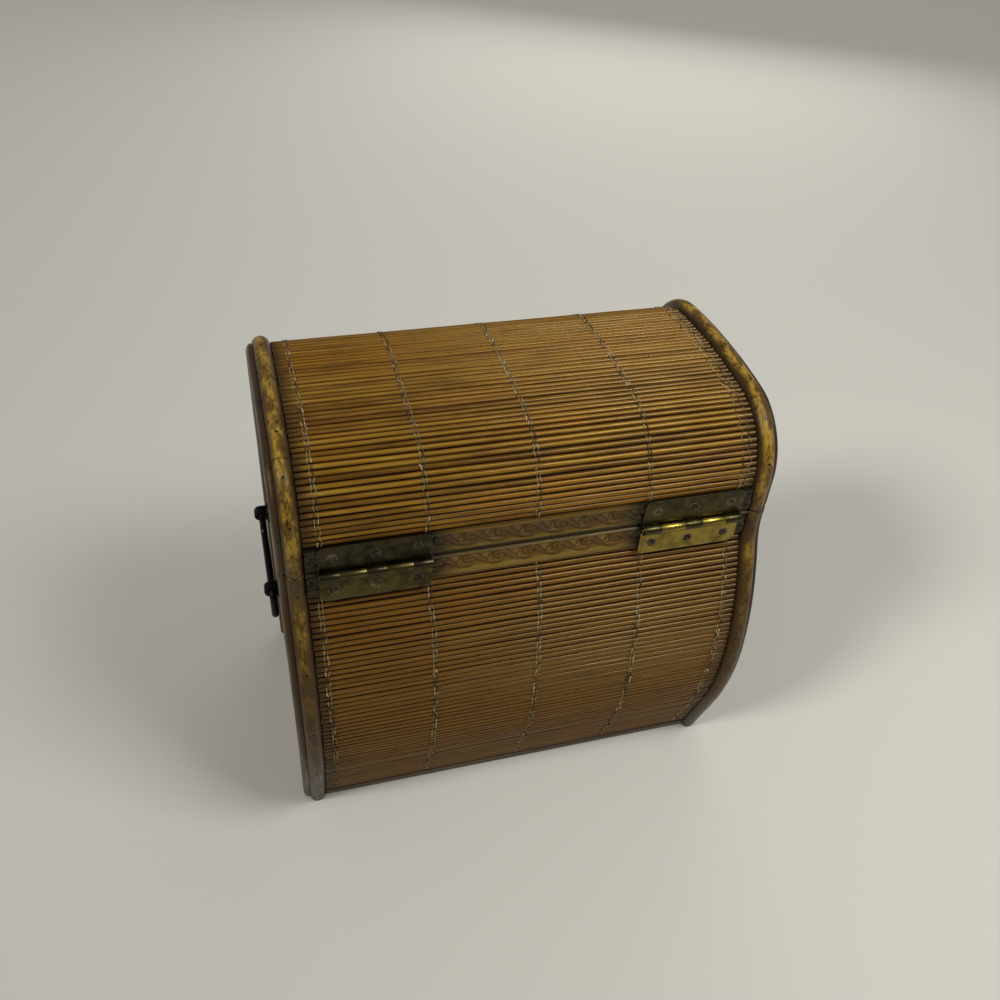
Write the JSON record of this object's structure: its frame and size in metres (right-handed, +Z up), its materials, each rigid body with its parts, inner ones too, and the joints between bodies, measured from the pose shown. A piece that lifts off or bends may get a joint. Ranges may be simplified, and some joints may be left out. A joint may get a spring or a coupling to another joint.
{
  "type": "rattan trunk",
  "caption": "Reed-clad wooden trunk with a rounded hinged lid, bent rattan edge poles, butt hinges, a hook catch and drop handles on the ends.",
  "frame": {"origin": "centre of the flat underside, on the floor", "axes": "+Z up, -Y to the front with the hook catch, +Y to the back with the hinges, +X to the right-hand end"},
  "size_m": [0.316, 0.2216, 0.2933],
  "materials": {
    "reed_matting": "split reeds under amber varnish",
    "rattan_pole": "scorched and varnished rattan",
    "stained_wood": "stained plywood",
    "carved_rail": "carved and stained wood",
    "dark_strip": "dark stained wood",
    "bronzed_brass": "dark antiqued brass",
    "aged_brass": "aged brass",
    "screw_brass": "tarnished brass",
    "steel_brads": "dulled steel",
    "black_iron": "black iron"
  },
  "bodies": {
    "trunk": {"back_base_strip": "dark_strip", "back_left_end_pole": "rattan_pole", "back_left_pole": "rattan_pole", "back_reed_mat": "reed_matting", "back_right_end_pole": "rattan_pole", "back_right_pole": "rattan_pole", "back_shell": "stained_wood", "base_board": "stained_wood", "body_back_rail": "carved_rail", "body_front_rail": "carved_rail", "body_pole_brads": "steel_brads", "catch_body_plate": "aged_brass", "catch_body_screws": "screw_brass", "front_base_strip": "dark_strip", "front_left_end_pole": "rattan_pole", "front_left_pole": "rattan_pole", "front_reed_mat": "reed_matting", "front_right_end_pole": "rattan_pole", "front_right_pole": "rattan_pole", "front_shell": "stained_wood", "left_end_panel": "stained_wood", "left_end_reed_mat": "reed_matting", "left_handle_nuts": "black_iron", "left_handle_posts": "black_iron", "left_handle_roses": "black_iron", "left_hinge_body_leaf": "aged_brass", "left_hinge_body_screws": "screw_brass", "left_hinge_pin": "aged_brass", "right_end_panel": "stained_wood", "right_end_reed_mat": "reed_matting", "right_handle_nuts": "black_iron", "right_handle_posts": "black_iron", "right_handle_roses": "black_iron", "right_hinge_body_leaf": "aged_brass", "right_hinge_body_screws": "screw_brass", "right_hinge_pin": "aged_brass"},
    "lid": {"catch_lid_plate": "aged_brass", "catch_lid_screws": "screw_brass", "catch_rivet": "aged_brass", "left_hinge_lid_leaf": "bronzed_brass", "left_hinge_lid_screws": "screw_brass", "left_lid_end_panel": "stained_wood", "left_lid_end_pole": "rattan_pole", "left_lid_end_reed_mat": "reed_matting", "left_lid_pole": "rattan_pole", "lid_back_rail": "carved_rail", "lid_front_rail": "carved_rail", "lid_pole_brads": "steel_brads", "lid_reed_mat": "reed_matting", "lid_shell": "stained_wood", "right_hinge_lid_leaf": "bronzed_brass", "right_hinge_lid_screws": "screw_brass", "right_lid_end_panel": "stained_wood", "right_lid_end_pole": "rattan_pole", "right_lid_end_reed_mat": "reed_matting", "right_lid_pole": "rattan_pole"},
    "right_bail": {"right_handle_bail": "black_iron"},
    "left_bail": {"left_handle_bail": "black_iron"},
    "hook": {"catch_hook": "aged_brass"}
  },
  "joints": [
    {"name": "lid_hinge", "type": "hinge", "parent": "trunk", "child": "lid", "pos_m": [0, 0.0901, 0.222], "axis": [-1, 0, 0], "range_deg": [0, 165]},
    {"name": "right_bail_swing", "type": "hinge", "parent": "trunk", "child": "right_bail", "pos_m": [0.153, 0, 0.165], "axis": [0, -1, 0], "range_deg": [0, 170]},
    {"name": "left_bail_swing", "type": "hinge", "parent": "trunk", "child": "left_bail", "pos_m": [-0.153, 0, 0.165], "axis": [0, 1, 0], "range_deg": [0, 170]},
    {"name": "hook_swing", "type": "hinge", "parent": "lid", "child": "hook", "pos_m": [0.00425, -0.0889, 0.23], "axis": [0, 1, 0], "range_deg": [0, 30]}
  ]
}
